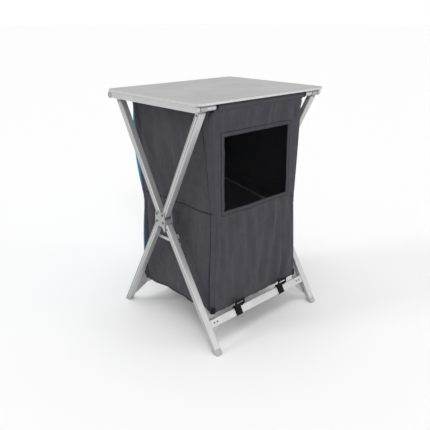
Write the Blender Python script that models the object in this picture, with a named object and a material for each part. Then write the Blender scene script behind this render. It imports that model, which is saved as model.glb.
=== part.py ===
"""Folding camp kitchen table: a hinged X frame, a lift-off top and a fabric cupboard.

Metres, +Z up, origin on the floor under the middle of the table. The cupboard's doors
face -Y (front), its window faces +Y (back); +X is the right-hand side from the front.
"""

import math

import bmesh
import bpy
from mathutils import Matrix, Vector

# ---------------------------------------------------------------- driving dimensions
TABLE_LENGTH = 0.570
TABLE_DEPTH = 0.473
TABLE_HEIGHT = 0.820
TABLE_CORNER = 0.022
TRIM_HEIGHT = 0.008
TRIM_WIDTH = 0.006
BOARD_INSET = 0.0005

GAP = 0.0003
OVERCUT = 0.010
EDGE_ROUND = 0.0012

LEG_INNER_X = 0.2380
LEG_OUTER_X = 0.2630
LEG_WIDTH = 0.020
LEG_CORNER = 0.0045
LEG_WALL = 0.0016
GROOVE_OFFSET = 0.0045
GROOVE_WIDTH = 0.0012
GROOVE_DEPTH = 0.0005
GROOVE_FLANK = 0.0003

UPPER_PIVOT_Y = 0.0147
UPPER_PIVOT_Z = 0.432
UPPER_TILT = math.atan(0.5356)
UPPER_TAIL = 0.005
LOWER_PIVOT_Y = 0.0163
LOWER_PIVOT_Z = 0.405
LOWER_TILT = math.atan(0.6074)

RAIL_Z = 0.8007
RAIL_RADIUS = 0.008
RAIL_WALL = 0.0012
BRACKET_RADIUS = 0.010
BRACKET_OUTER_X = LEG_OUTER_X + 0.0010
SLEEVE_WALL = 0.0010
SLEEVE_HALF_LENGTH = 0.202
END_PIN_RADIUS = 0.005
END_PIN_REACH = 0.2735
BRACKET_WALL = 0.0030

BAR_INNER_X = 0.2675
BAR_OUTER_X = 0.2795
BAR_HEIGHT = 0.020
BAR_FRONT_BOSS_Y = -0.226
BAR_BACK_END_Y = 0.224
BAR_END_CORNER = 0.008
BOSS_RADIUS = 0.011
NOTCH_RADIUS = 0.0054
NOTCH_DEPTH_X = 0.2745

PLATE_THICKNESS = 0.0040
PIVOT_HOLE = 0.0033
PIVOT_SHANK = 0.0030
PIVOT_BORE = 0.0014
PIVOT_HEAD = 0.0046
PIVOT_HEAD_HEIGHT = 0.0014

KNUCKLE_RADIUS = 0.012
KNUCKLE_CHAMFER = 0.0009
TANG_CLEARANCE = 0.0006
TANG_LENGTH = 0.024

FOOT_HEIGHT_ALONG = 0.016
FOOT_LIP = 0.0004
FOOT_TANG = 0.022
FOOT_OVERLAP = 0.004
FLOOR_CUT = 0.100

BOTTOM_RAIL_Z = 0.085
BOTTOM_RAIL_HEIGHT = 0.028
BOTTOM_RAIL_THICKNESS = 0.012
BOTTOM_RAIL_WALL = 0.0014
BOTTOM_RAIL_CORNER = 0.0025
GUSSET_THICKNESS = 0.0025
GUSSET_REACH = 0.034
GUSSET_SHOULDER = 0.004
GUSSET_UP = 0.072
GUSSET_DOWN = 0.056

TIE_STUD_Z = 0.332
TIE_INNER_X = 0.2342
TIE_THICKNESS = 0.0030
TIE_HEIGHT = 0.010
TIE_OVERRUN = 0.007

CABINET_HALF_X = 0.2125
CABINET_Y = 0.1985
CABINET_TOP = 0.778
CABINET_BOTTOM = 0.112
FABRIC = 0.0020
SIDE_PINCH = 0.020
PINCH_Z = 0.418
SIDE_STATIONS = 9

WINDOW_X = (-0.140, 0.156)
WINDOW_Z = (0.465, 0.705)
WINDOW_LAP = 0.010

DOOR_HALF_X = 0.160
DOOR_Z = (0.155, 0.735)
DOOR_LAP = 0.008

MID_SHELF_Z = 0.4150
SHELF_THICKNESS = 0.006
MID_SHELF_HALF = (0.1860, 0.190)
FLOOR_SHELF_HALF = (0.2060, 0.192)

KEEPER_SIZE = (0.046, 0.026)
KEEPER_THICKNESS = 0.003
KEEPER_SLOT = (0.032, 0.007)
KEEPER_Z = 0.124
STRAP_X = {"right": 0.108, "left": -0.114}
STRAP_WIDTH = 0.030
STRAP_THICKNESS = 0.0016

SIDES = (("right", 1), ("left", -1))
ENDS = (("back", 1), ("front", -1))

for old in list(bpy.data.objects):
    bpy.data.objects.remove(old, do_unlink=True)


# ---------------------------------------------------------------- materials
def material(name, rgb, roughness, metallic):
    mat = bpy.data.materials.new(name)
    mat.use_nodes = True
    shader = mat.node_tree.nodes["Principled BSDF"]
    shader.inputs["Base Color"].default_value = (*rgb, 1.0)
    shader.inputs["Roughness"].default_value = roughness
    shader.inputs["Metallic"].default_value = metallic
    return mat


ALUMINIUM = material("brushed_aluminium", (0.78, 0.79, 0.78), 0.38, 0.9)
CASTING = material("cast_alloy", (0.66, 0.67, 0.67), 0.45, 0.8)
STEEL = material("rivet_steel", (0.60, 0.60, 0.61), 0.35, 1.0)
LAMINATE = material("grey_laminate", (0.50, 0.49, 0.50), 0.40, 0.0)
SHELF_BOARD = material("shelf_board", (0.22, 0.22, 0.24), 0.60, 0.0)
GREY_PLASTIC = material("grey_plastic", (0.48, 0.49, 0.49), 0.50, 0.0)
BLACK_PLASTIC = material("black_plastic", (0.015, 0.015, 0.016), 0.45, 0.0)
CHARCOAL_FABRIC = material("charcoal_fabric", (0.075, 0.072, 0.092), 0.90, 0.0)
TEAL_FABRIC = material("teal_fabric", (0.0, 0.13, 0.22), 0.85, 0.0)
MESH = material("window_mesh", (0.012, 0.012, 0.014), 0.80, 0.0)
WEBBING = material("black_webbing", (0.012, 0.012, 0.012), 0.80, 0.0)


# ---------------------------------------------------------------- mesh helpers
def finish(name, bm, mat, smooth_angle=35.0):
    """Turn a bmesh into a scene object with outward faces and sharp edges kept."""
    bmesh.ops.recalc_face_normals(bm, faces=bm.faces)
    mesh = bpy.data.meshes.new(name)
    bm.to_mesh(mesh)
    bm.free()
    mesh.materials.append(mat)
    mesh.shade_smooth()
    mesh.set_sharp_from_angle(angle=math.radians(smooth_angle))
    obj = bpy.data.objects.new(name, mesh)
    bpy.context.scene.collection.objects.link(obj)
    return obj


def loft(bm, rings):
    """Close a stack of matching point rings into one solid."""
    verts = [[bm.verts.new(p) for p in ring] for ring in rings]
    count = len(rings[0])
    for low, high in zip(verts, verts[1:]):
        for i in range(count):
            j = (i + 1) % count
            bm.faces.new((low[i], low[j], high[j], high[i]))
    bm.faces.new(list(reversed(verts[0])))
    bm.faces.new(verts[-1])


def rounded_rect(width, height, radius, steps=4):
    """Points of a rounded rectangle centred on the origin, anticlockwise."""
    points = []
    for corner in range(4):
        sx = 1 if corner in (0, 3) else -1
        sy = 1 if corner in (0, 1) else -1
        for k in range(steps + 1):
            a = math.radians(90 * corner + 90 * k / steps)
            cx = sx * (width / 2 - radius)
            cy = sy * (height / 2 - radius)
            points.append((cx + radius * math.cos(a), cy + radius * math.sin(a)))
    return points


def circle(radius, steps):
    turn = 2 * math.pi / steps
    return [(radius * math.cos(turn * k), radius * math.sin(turn * k)) for k in range(steps)]


def arc(cx, cy, radius, start, end, steps=6):
    """Points on an arc, angles in degrees."""
    points = []
    for k in range(steps + 1):
        a = math.radians(start + (end - start) * k / steps)
        points.append((cx + radius * math.cos(a), cy + radius * math.sin(a)))
    return points


def prism_x(bm, outline_yz, x0, x1):
    loft(bm, [[(x, y, z) for y, z in outline_yz] for x in (x0, x1)])


def prism_y(bm, outline_xz, y0, y1):
    loft(bm, [[(x, y, z) for x, z in outline_xz] for y in (y0, y1)])


def prism_z(bm, outline_xy, z0, z1):
    loft(bm, [[(x, y, z) for x, y in outline_xy] for z in (z0, z1)])


def cuboid(bm, low, high):
    outline = [(low[0], low[1]), (high[0], low[1]), (high[0], high[1]), (low[0], high[1])]
    prism_z(bm, outline, low[2], high[2])


def turned_x(bm, profile, y, z, steps=20):
    """Solid of revolution about the line parallel to X through (y, z)."""
    rings = []
    for x, radius in profile:
        rings.append([(x, y + p, z + q) for p, q in circle(radius, steps)])
    loft(bm, rings)


def combine(target, cutters, operation="DIFFERENCE"):
    """Cut the target with each cutter, or join them, and leave one finished mesh."""
    for cutter in cutters:
        step = target.modifiers.new("combine", "BOOLEAN")
        step.operation = operation
        step.solver = "EXACT"
        step.object = cutter
    apply_modifiers(target)
    for cutter in cutters:
        bpy.data.objects.remove(cutter, do_unlink=True)


def apply_modifiers(target):
    bpy.context.view_layer.update()
    graph = bpy.context.evaluated_depsgraph_get()
    mesh = bpy.data.meshes.new_from_object(target.evaluated_get(graph))
    target.modifiers.clear()
    target.data = mesh
    mesh.shade_smooth()
    mesh.set_sharp_from_angle(angle=math.radians(35.0))


def bevel(target, width, segments=2):
    step = target.modifiers.new("bevel", "BEVEL")
    step.width = width
    step.segments = segments
    step.limit_method = "ANGLE"
    step.angle_limit = math.radians(50)
    apply_modifiers(target)


def solid(build, *args):
    """A bare object for use as a cutter or as a part to be joined on."""
    bm = bmesh.new()
    build(bm, *args)
    return finish("tool", bm, ALUMINIUM)


# ---------------------------------------------------------------- the slanted leg frames
class Slant:
    """Leg line of one frame: s runs from the pivot along the leg, n points outwards."""

    def __init__(self, end, upper):
        tilt = UPPER_TILT if upper else LOWER_TILT
        pivot_y = UPPER_PIVOT_Y if upper else LOWER_PIVOT_Y
        pivot_z = UPPER_PIVOT_Z if upper else LOWER_PIVOT_Z
        rise = 1 if upper else -1
        self.pivot = Vector((0.0, end * pivot_y, pivot_z))
        self.along = Vector((0.0, end * math.sin(tilt), rise * math.cos(tilt)))
        self.out = Vector((0.0, end * math.cos(tilt), -rise * math.sin(tilt)))

    def at(self, x, s, n):
        return Vector((x, 0.0, 0.0)) + self.pivot + self.along * s + self.out * n

    def height(self, z):
        """Distance along the leg line at which it reaches height z."""
        return (z - self.pivot.z) / self.along.z


def leg_section(width, depth, corner, grooves):
    """Section of the leg tube in (n, x), with two shallow grooves on each X face."""
    corner_steps = 4
    corner_points = corner_steps + 1
    face_starts = {corner_points - 1: -1, 3 * corner_points - 1: 1}
    points = []
    for k, point in enumerate(rounded_rect(width, depth, corner, corner_steps)):
        points.append(point)
        if grooves and k in face_starts:
            heading = face_starts[k]
            face = -heading * depth / 2
            floor = face + heading * GROOVE_DEPTH
            for centre in (-heading * GROOVE_OFFSET, heading * GROOVE_OFFSET):
                first = centre - heading * GROOVE_WIDTH / 2
                last = centre + heading * GROOVE_WIDTH / 2
                points += [(first, face), (first + heading * GROOVE_FLANK, floor)]
                points += [(last - heading * GROOVE_FLANK, floor), (last, face)]
    return points


def slanted_prism(bm, slant, side, s0, s1, section):
    centre = side * (LEG_INNER_X + LEG_OUTER_X) / 2
    rings = []
    for s in (s0, s1):
        rings.append([slant.at(centre + x, s, n) for n, x in section])
    loft(bm, rings)


def leg_tube(name, slant, side, s0, s1, holes):
    depth = LEG_OUTER_X - LEG_INNER_X
    outer = leg_section(LEG_WIDTH, depth, LEG_CORNER, True)
    inner = leg_section(LEG_WIDTH - 2 * LEG_WALL, depth - 2 * LEG_WALL,
                        LEG_CORNER - LEG_WALL, False)
    bm = bmesh.new()
    slanted_prism(bm, slant, side, s0, s1, outer)
    leg = finish(name, bm, ALUMINIUM)
    cutters = [solid(slanted_prism, slant, side, s0 - OVERCUT, s1 + OVERCUT, inner)]
    for s, radius in holes:
        point = slant.at(0.0, s, 0.0)
        reach = [(side * (LEG_INNER_X - OVERCUT), radius), (side * (LEG_OUTER_X + OVERCUT), radius)]
        cutters.append(solid(turned_x, reach, point.y, point.z))
    combine(leg, cutters)
    return leg


def tang_section():
    depth = LEG_OUTER_X - LEG_INNER_X
    inner_width = LEG_WIDTH - 2 * LEG_WALL - TANG_CLEARANCE
    inner_depth = depth - 2 * LEG_WALL - TANG_CLEARANCE
    return rounded_rect(inner_width, inner_depth, LEG_CORNER - LEG_WALL)


def barrel(name, slant, side, s_axis, profile, bore, bore_end, tang):
    """Cast end piece: a turned barrel across the leg with a tang that fills the tube."""
    axis = slant.at(0.0, s_axis, 0.0)
    bm = bmesh.new()
    turned_x(bm, [(side * x, radius) for x, radius in profile], axis.y, axis.z, 24)
    piece = finish(name, bm, CASTING)
    tang = solid(slanted_prism, slant, side, tang[0], tang[1], tang_section())
    combine(piece, [tang], "UNION")
    hole = [(side * (LEG_INNER_X - OVERCUT), bore), (side * bore_end, bore)]
    combine(piece, [solid(turned_x, hole, axis.y, axis.z)])
    return piece


# ---------------------------------------------------------------- tabletop
def tabletop():
    top = TABLE_HEIGHT
    under = TABLE_HEIGHT - TRIM_HEIGHT
    bm = bmesh.new()
    outline = rounded_rect(TABLE_LENGTH, TABLE_DEPTH, TABLE_CORNER, 8)
    prism_z(bm, outline, under, top)
    trim = finish("tabletop_edge_trim", bm, ALUMINIUM)
    inner = rounded_rect(TABLE_LENGTH - 2 * TRIM_WIDTH, TABLE_DEPTH - 2 * TRIM_WIDTH,
                         TABLE_CORNER - TRIM_WIDTH, 8)
    combine(trim, [solid(prism_z, inner, under - OVERCUT, top + OVERCUT)])
    bevel(trim, EDGE_ROUND)

    edge = TRIM_WIDTH + GAP
    bm = bmesh.new()
    outline = rounded_rect(TABLE_LENGTH - 2 * edge, TABLE_DEPTH - 2 * edge,
                           TABLE_CORNER - edge, 8)
    prism_z(bm, outline, under + BOARD_INSET, top - BOARD_INSET)
    board = finish("tabletop_board", bm, LAMINATE)
    return [trim, board]


def side_bar(name, side):
    """Bar under a short edge; blind notches drop over the frame's end pins."""
    top = TABLE_HEIGHT - TRIM_HEIGHT - GAP
    low = top - BAR_HEIGHT
    boss_z = top - BOSS_RADIUS
    corner = BAR_END_CORNER
    outline = arc(BAR_FRONT_BOSS_Y, boss_z, BOSS_RADIUS, 90, 270, 10)
    outline += [(BAR_FRONT_BOSS_Y + BOSS_RADIUS, low)]
    outline += arc(BAR_BACK_END_Y - corner, low + corner, corner, -90, 0)
    outline += arc(BAR_BACK_END_Y - corner, top - corner, corner, 0, 90)
    bm = bmesh.new()
    prism_x(bm, outline, side * BAR_INNER_X, side * BAR_OUTER_X)
    bar = finish(name, bm, ALUMINIUM)
    bevel(bar, EDGE_ROUND)
    cutters = []
    open_x = BAR_INNER_X - OVERCUT / 2
    rail_y = rail_axis(1).y
    for end in (-1, 1):
        y = end * rail_y
        span = [(side * open_x, NOTCH_RADIUS), (side * NOTCH_DEPTH_X, NOTCH_RADIUS)]
        cutters.append(solid(turned_x, span, y, RAIL_Z))
        exit_way = Vector((-end, -1.0)).normalized()
        across = Vector((exit_way.y, -exit_way.x)) * NOTCH_RADIUS * 0.998
        centre = Vector((y, RAIL_Z))
        far = centre + exit_way * 2 * BAR_HEIGHT
        slot = [centre + across, far + across, far - across, centre - across]
        cutters.append(solid(prism_x, slot, side * open_x, side * NOTCH_DEPTH_X))
    combine(bar, cutters)
    return bar


# ---------------------------------------------------------------- upper frames
def rail_axis(end):
    slant = Slant(end, True)
    return slant.at(0.0, slant.height(RAIL_Z), 0.0)


def upper_frame(word, end):
    slant = Slant(end, True)
    rail_s = slant.height(RAIL_Z)
    axis = rail_axis(end)
    bore_end = LEG_OUTER_X - BRACKET_WALL
    bracket_profile = [(LEG_INNER_X + GAP / 3, BRACKET_RADIUS),
                       (BRACKET_OUTER_X, BRACKET_RADIUS),
                       (BRACKET_OUTER_X, END_PIN_RADIUS),
                       (END_PIN_REACH, END_PIN_RADIUS)]
    pieces = []
    for hand, side in SIDES:
        top_s = rail_s - BRACKET_RADIUS - 0.0005
        pieces.append(leg_tube(f"{word}_upper_leg_{hand}", slant, side, -UPPER_TAIL, top_s,
                               [(0.0, PIVOT_HOLE)]))
        pieces.append(barrel(f"{word}_rail_bracket_{hand}", slant, side, rail_s,
                             bracket_profile, RAIL_RADIUS + GAP, bore_end,
                             (top_s - TANG_LENGTH, rail_s - RAIL_RADIUS)))

    end_x = bore_end - GAP
    bm = bmesh.new()
    turned_x(bm, [(-end_x, RAIL_RADIUS), (end_x, RAIL_RADIUS)], axis.y, axis.z)
    rail = finish(f"{word}_top_rail", bm, ALUMINIUM)
    bore = RAIL_RADIUS - RAIL_WALL
    combine(rail, [solid(turned_x, [(-end_x - OVERCUT, bore), (end_x + OVERCUT, bore)],
                         axis.y, axis.z)])
    pieces.append(rail)

    bm = bmesh.new()
    inside = RAIL_RADIUS + GAP
    outside = inside + SLEEVE_WALL
    length = [(-SLEEVE_HALF_LENGTH, outside), (SLEEVE_HALF_LENGTH, outside)]
    turned_x(bm, length, axis.y, axis.z)
    sleeve = finish(f"{word}_rail_sleeve", bm, CHARCOAL_FABRIC)
    hollow = [(-end_x, inside), (end_x, inside)]
    combine(sleeve, [solid(turned_x, hollow, axis.y, axis.z)])
    pieces.append(sleeve)
    return pieces


# ---------------------------------------------------------------- lower frames
def foot_plug(name, slant, side, tube_end):
    """Plastic plug in the leg's lower end, cut flat where it stands on the floor."""
    depth = LEG_OUTER_X - LEG_INNER_X
    bm = bmesh.new()
    slanted_prism(bm, slant, side, tube_end - FOOT_TANG, tube_end + FOOT_OVERLAP, tang_section())
    plug = finish(name, bm, GREY_PLASTIC)
    section = rounded_rect(LEG_WIDTH + 2 * FOOT_LIP, depth + 2 * FOOT_LIP, LEG_CORNER)
    below_floor = tube_end + 3 * FOOT_HEIGHT_ALONG
    shoe = solid(slanted_prism, slant, side, tube_end + GAP, below_floor, section)
    combine(plug, [shoe], "UNION")
    low = slant.at(side * LEG_INNER_X, tube_end, 0.0) - Vector((FLOOR_CUT, FLOOR_CUT, 0.0))
    high = slant.at(side * LEG_INNER_X, tube_end, 0.0) + Vector((FLOOR_CUT, FLOOR_CUT, 0.0))
    low.z = -FLOOR_CUT
    high.z = 0.0
    combine(plug, [solid(cuboid, low, high)])
    return plug


def bottom_rail(name, slant, s_mid):
    end_x = LEG_INNER_X - GAP
    half_s = BOTTOM_RAIL_HEIGHT / 2
    half_n = BOTTOM_RAIL_THICKNESS / 2

    def box_along_x(bm, reach, grow):
        section = rounded_rect(2 * (half_s + grow), 2 * (half_n + grow),
                               BOTTOM_RAIL_CORNER + grow, 3)
        loft(bm, [[slant.at(x, s_mid + s, n) for s, n in section] for x in (-reach, reach)])

    bm = bmesh.new()
    box_along_x(bm, end_x, 0.0)
    rail = finish(name, bm, ALUMINIUM)
    combine(rail, [solid(box_along_x, end_x + OVERCUT, -BOTTOM_RAIL_WALL)])
    return rail


def gusset(name, slant, side, s_mid):
    """Kite-shaped plate that stiffens the corner between leg and bottom rail."""
    back = -(BOTTOM_RAIL_THICKNESS / 2 + GAP)
    front = back - GUSSET_THICKNESS
    root_x = LEG_INNER_X - GAP
    shoulder_x = root_x - GUSSET_SHOULDER
    tip_x = root_x - GUSSET_REACH
    half_tip = BOTTOM_RAIL_HEIGHT / 2
    kite = [(root_x, s_mid - GUSSET_UP), (root_x, s_mid + GUSSET_DOWN),
            (shoulder_x, s_mid + GUSSET_DOWN), (tip_x, s_mid + half_tip),
            (tip_x, s_mid - half_tip), (shoulder_x, s_mid - GUSSET_UP)]
    bm = bmesh.new()
    loft(bm, [[slant.at(side * x, s, n) for x, s in kite] for n in (back, front)])
    return finish(name, bm, CASTING)


def lower_frame(word, end):
    slant = Slant(end, False)
    s_mid = slant.height(BOTTOM_RAIL_Z)
    floor_s = slant.height(0.0)
    tube_end = floor_s - FOOT_HEIGHT_ALONG
    tube_start = KNUCKLE_RADIUS + 0.0006
    chamfered = KNUCKLE_RADIUS - KNUCKLE_CHAMFER
    knuckle_profile = [(LEG_INNER_X + GAP / 3, chamfered),
                       (LEG_INNER_X + KNUCKLE_CHAMFER, KNUCKLE_RADIUS),
                       (LEG_OUTER_X - KNUCKLE_CHAMFER, KNUCKLE_RADIUS),
                       (LEG_OUTER_X - GAP / 3, chamfered)]
    pieces = []
    for hand, side in SIDES:
        pieces.append(leg_tube(f"{word}_lower_leg_{hand}", slant, side, tube_start, tube_end, []))
        pieces.append(barrel(f"{word}_knuckle_{hand}", slant, side, 0.0, knuckle_profile,
                             PIVOT_HOLE, LEG_OUTER_X + OVERCUT,
                             (KNUCKLE_RADIUS * 0.7, tube_start + TANG_LENGTH)))
        pieces.append(foot_plug(f"{word}_foot_plug_{hand}", slant, side, tube_end))
        pieces.append(gusset(f"{word}_rail_gusset_{hand}", slant, side, s_mid))
    pieces.append(bottom_rail(f"{word}_bottom_rail", slant, s_mid))
    return pieces


def hem_strap(hand, x_mid):
    """Webbing loop round the back bottom rail, with the slotted keeper at the hem."""
    slant = Slant(1, False)
    s_mid = slant.height(BOTTOM_RAIL_Z)
    half_s = BOTTOM_RAIL_HEIGHT / 2 + GAP
    half_n = BOTTOM_RAIL_THICKNESS / 2 + GAP
    x0 = x_mid - STRAP_WIDTH / 2
    x1 = x_mid + STRAP_WIDTH / 2

    def ring(bm, grow, low_x, high_x):
        section = rounded_rect(2 * (half_s + grow), 2 * (half_n + grow), 0.003 + grow, 3)
        loft(bm, [[slant.at(x, s_mid + s, n) for s, n in section] for x in (low_x, high_x)])

    bm = bmesh.new()
    ring(bm, STRAP_THICKNESS, x0, x1)
    strap = finish(f"hem_strap_{hand}", bm, WEBBING)
    combine(strap, [solid(ring, 0.0, x0 - OVERCUT, x1 + OVERCUT)])

    ring_top = slant.at(0.0, s_mid - half_s - STRAP_THICKNESS * 0.6, 0.0)
    keeper_y = CABINET_Y + 3 * GAP
    keeper_low = KEEPER_Z - KEEPER_SIZE[1] / 2
    tail = [(ring_top.y - 0.001, ring_top.z), (ring_top.y + 0.001, ring_top.z),
            (keeper_y + 0.0025, keeper_low + 0.002), (keeper_y + 0.0005, keeper_low + 0.002)]
    keeper = [(x_mid + p, KEEPER_Z + q) for p, q in rounded_rect(*KEEPER_SIZE, 0.005, 3)]
    combine(strap, [solid(prism_x, tail, x0 + 0.001, x1 - 0.001),
                    solid(prism_y, keeper, keeper_y, keeper_y + KEEPER_THICKNESS)], "UNION")
    slot_half = KEEPER_SLOT[0] / 2
    slot_low = KEEPER_Z - KEEPER_SLOT[1] / 2 + GAP
    slot = solid(cuboid, (x_mid - slot_half, keeper_y - OVERCUT, slot_low),
                 (x_mid + slot_half, keeper_y + OVERCUT, slot_low + KEEPER_SLOT[1]))
    combine(strap, [slot])
    return strap


# ---------------------------------------------------------------- hubs
def hub_outline():
    """Cast hub plate: two lobes above, two below, and a short arm beside each lower leg."""
    uy, uz = UPPER_PIVOT_Y, UPPER_PIVOT_Z
    ly, lz = LOWER_PIVOT_Y, LOWER_PIVOT_Z
    half = [(0.0, uz + 0.0035)]
    half += arc(uy, uz, 0.0095, 125, 10)
    half += arc(ly, lz, 0.0112, 25, -50)
    half += arc(0.0215, 0.3760, 0.0036, -5, -150, 5)
    half += [(0.0075, 0.3905), (0.0, 0.3875)]
    mirrored = [(-y, z) for y, z in reversed(half[1:-1])]
    return half + mirrored


def hub(hand, side):
    outline = hub_outline()
    spans = {
        "outer": (LEG_OUTER_X + GAP, LEG_OUTER_X + GAP + PLATE_THICKNESS),
        "inner": (LEG_INNER_X - GAP - PLATE_THICKNESS, LEG_INNER_X - GAP),
    }
    pivots = {}
    for word, end in ENDS:
        pivots[f"{word}_upper"] = (end * UPPER_PIVOT_Y, UPPER_PIVOT_Z)
        pivots[f"{word}_lower"] = (end * LOWER_PIVOT_Y, LOWER_PIVOT_Z)
    for word, (x0, x1) in spans.items():
        bm = bmesh.new()
        prism_x(bm, outline, side * x0, side * x1)
        plate = finish(f"hub_{word}_plate_{hand}", bm, CASTING)
        bevel(plate, 0.0007, 1)
        cutters = []
        for y, z in pivots.values():
            hole = [(side * (x0 - OVERCUT), PIVOT_HOLE), (side * (x1 + OVERCUT), PIVOT_HOLE)]
            cutters.append(solid(turned_x, hole, y, z, 16))
        combine(plate, cutters)

    inner_face = spans["inner"][0]
    outer_face = spans["outer"][1]
    profile = [(inner_face - GAP - PIVOT_HEAD_HEIGHT, PIVOT_HEAD),
               (inner_face - GAP, PIVOT_HEAD), (inner_face - GAP, PIVOT_SHANK),
               (outer_face + GAP, PIVOT_SHANK), (outer_face + GAP, PIVOT_HEAD),
               (outer_face + GAP + PIVOT_HEAD_HEIGHT, PIVOT_HEAD)]
    for word, (y, z) in pivots.items():
        bm = bmesh.new()
        turned_x(bm, [(side * x, radius) for x, radius in profile], y, z, 16)
        rivet = finish(f"{word}_pivot_rivet_{hand}", bm, STEEL)
        bore = [(side * (inner_face - OVERCUT), PIVOT_BORE),
                (side * (outer_face + OVERCUT), PIVOT_BORE)]
        combine(rivet, [solid(turned_x, bore, y, z, 10)])


def tie_bars():
    """Flat bar inside each side frame, pinned to the front leg, free at the back leg."""
    slant = Slant(-1, False)
    stud = slant.at(0.0, slant.height(TIE_STUD_Z), 0.0)
    half = TIE_HEIGHT / 2
    pieces = []
    for hand, side in SIDES:
        outline = arc(stud.y, stud.z, half, 90, 270)
        outline += arc(-stud.y + TIE_OVERRUN - half, stud.z, half, -90, 90)
        bm = bmesh.new()
        prism_x(bm, outline, side * TIE_INNER_X, side * (TIE_INNER_X + TIE_THICKNESS))
        pieces.append(finish(f"tie_bar_{hand}", bm, ALUMINIUM))
    return pieces


# ---------------------------------------------------------------- cupboard
def pinch(z):
    """How far the side panels are drawn in at height z by the middle shelf."""
    reach = CABINET_TOP - PINCH_Z if z > PINCH_Z else PINCH_Z - CABINET_BOTTOM
    fraction = max(0.0, 1.0 - abs(z - PINCH_Z) / reach)
    return SIDE_PINCH * fraction ** 1.4


def side_panel(hand, side):
    height = CABINET_TOP - CABINET_BOTTOM
    stations = [CABINET_BOTTOM + height * k / (SIDE_STATIONS - 1) for k in range(SIDE_STATIONS)]
    outer = CABINET_HALF_X + GAP + FABRIC
    outside = [(side * (outer - pinch(z)), z) for z in stations]
    inside = [(side * (outer - FABRIC - pinch(z)), z) for z in reversed(stations)]
    bm = bmesh.new()
    prism_y(bm, outside + inside, -(CABINET_Y - FABRIC), CABINET_Y - FABRIC)
    finish(f"cabinet_side_panel_{hand}", bm, CHARCOAL_FABRIC)


def end_panel(name, mat, face_y, opening_x, opening_z):
    """Front or back panel of the cupboard with its rectangular opening."""
    thick = math.copysign(FABRIC, face_y)
    low_y, high_y = sorted((face_y, face_y - thick))
    bm = bmesh.new()
    cuboid(bm, (-CABINET_HALF_X, low_y, CABINET_BOTTOM), (CABINET_HALF_X, high_y, CABINET_TOP))
    panel = finish(name, bm, mat)
    hole = solid(cuboid, (opening_x[0], low_y - OVERCUT, opening_z[0]),
                 (opening_x[1], high_y + OVERCUT, opening_z[1]))
    combine(panel, [hole])


def shelf(name, half, z):
    bm = bmesh.new()
    cuboid(bm, (-half[0], -half[1], z), (half[0], half[1], z + SHELF_THICKNESS))
    bevel(finish(name, bm, SHELF_BOARD), EDGE_ROUND)


def zip_slider(hand, side, face):
    """A slider with its pull, at the foot of one of the door's two zips."""
    x = side * (DOOR_HALF_X + DOOR_LAP - 0.006)
    tab = [(x + p, DOOR_Z[0] + q) for p, q in rounded_rect(0.009, 0.026, 0.003, 3)]
    bm = bmesh.new()
    prism_y(bm, tab, face - 0.0035, face)
    return finish(f"door_zip_slider_{hand}", bm, BLACK_PLASTIC)


def cupboard():
    for hand, side in SIDES:
        side_panel(hand, side)
    face_y = CABINET_Y + GAP
    end_panel("cabinet_back_panel", CHARCOAL_FABRIC, face_y, WINDOW_X, WINDOW_Z)
    end_panel("front_surround", TEAL_FABRIC, -face_y, (-DOOR_HALF_X, DOOR_HALF_X), DOOR_Z)

    mesh_y = CABINET_Y - FABRIC - 0.0002
    bm = bmesh.new()
    cuboid(bm, (WINDOW_X[0] - WINDOW_LAP, mesh_y - 0.0010, WINDOW_Z[0] - WINDOW_LAP),
           (WINDOW_X[1] + WINDOW_LAP, mesh_y, WINDOW_Z[1] + WINDOW_LAP))
    finish("window_mesh", bm, MESH)

    flap_y = -face_y - GAP
    bm = bmesh.new()
    cuboid(bm, (-DOOR_HALF_X - DOOR_LAP, flap_y - FABRIC, DOOR_Z[0] - DOOR_LAP),
           (DOOR_HALF_X + DOOR_LAP, flap_y, DOOR_Z[1] + DOOR_LAP))
    finish("door_flap", bm, TEAL_FABRIC)

    shelf("mid_shelf", MID_SHELF_HALF, MID_SHELF_Z)
    shelf("floor_shelf", FLOOR_SHELF_HALF, CABINET_BOTTOM + 0.001)
    slider_face = flap_y - FABRIC - GAP
    return [zip_slider(hand, side, slider_face) for hand, side in SIDES]


# ---------------------------------------------------------------- assembly
def hang_on(name, point, pieces):
    """Parent a moving group to an empty that stands on its joint's axis."""
    pivot = bpy.data.objects.new(name, None)
    pivot.empty_display_size = 0.05
    pivot.location = point
    bpy.context.scene.collection.objects.link(pivot)
    for piece in pieces:
        piece.parent = pivot
        piece.matrix_parent_inverse = Matrix.Translation(-Vector(point))


top_pieces = tabletop()
for hand_word, side_sign in SIDES:
    top_pieces.append(side_bar(f"tabletop_side_bar_{hand_word}", side_sign))
hang_on("tabletop_origin", (0.0, 0.0, TABLE_HEIGHT), top_pieces)

for end_word, end_sign in ENDS:
    hang_on(f"{end_word}_upper_pivot", (0.0, end_sign * UPPER_PIVOT_Y, UPPER_PIVOT_Z),
            upper_frame(end_word, end_sign))
    lower_pieces = lower_frame(end_word, end_sign)
    if end_word == "back":
        lower_pieces += [hem_strap(hand, x_mid) for hand, x_mid in STRAP_X.items()]
    hang_on(f"{end_word}_lower_pivot", (0.0, end_sign * LOWER_PIVOT_Y, LOWER_PIVOT_Z),
            lower_pieces)

tie_slant = Slant(-1, False)
tie_point = tie_slant.at(0.0, tie_slant.height(TIE_STUD_Z), 0.0)
hang_on("tie_bar_pivot", tuple(tie_point), tie_bars())

for hand_word, side_sign in SIDES:
    hub(hand_word, side_sign)
hang_on("door_slider_origin", (0.0, -CABINET_Y, DOOR_Z[0]), cupboard())
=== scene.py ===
"""Looks of the folding camp kitchen table: metal, laminate, cloth, stitching and fittings."""

import math

import bmesh
import bpy
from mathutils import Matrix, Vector, noise


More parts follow.
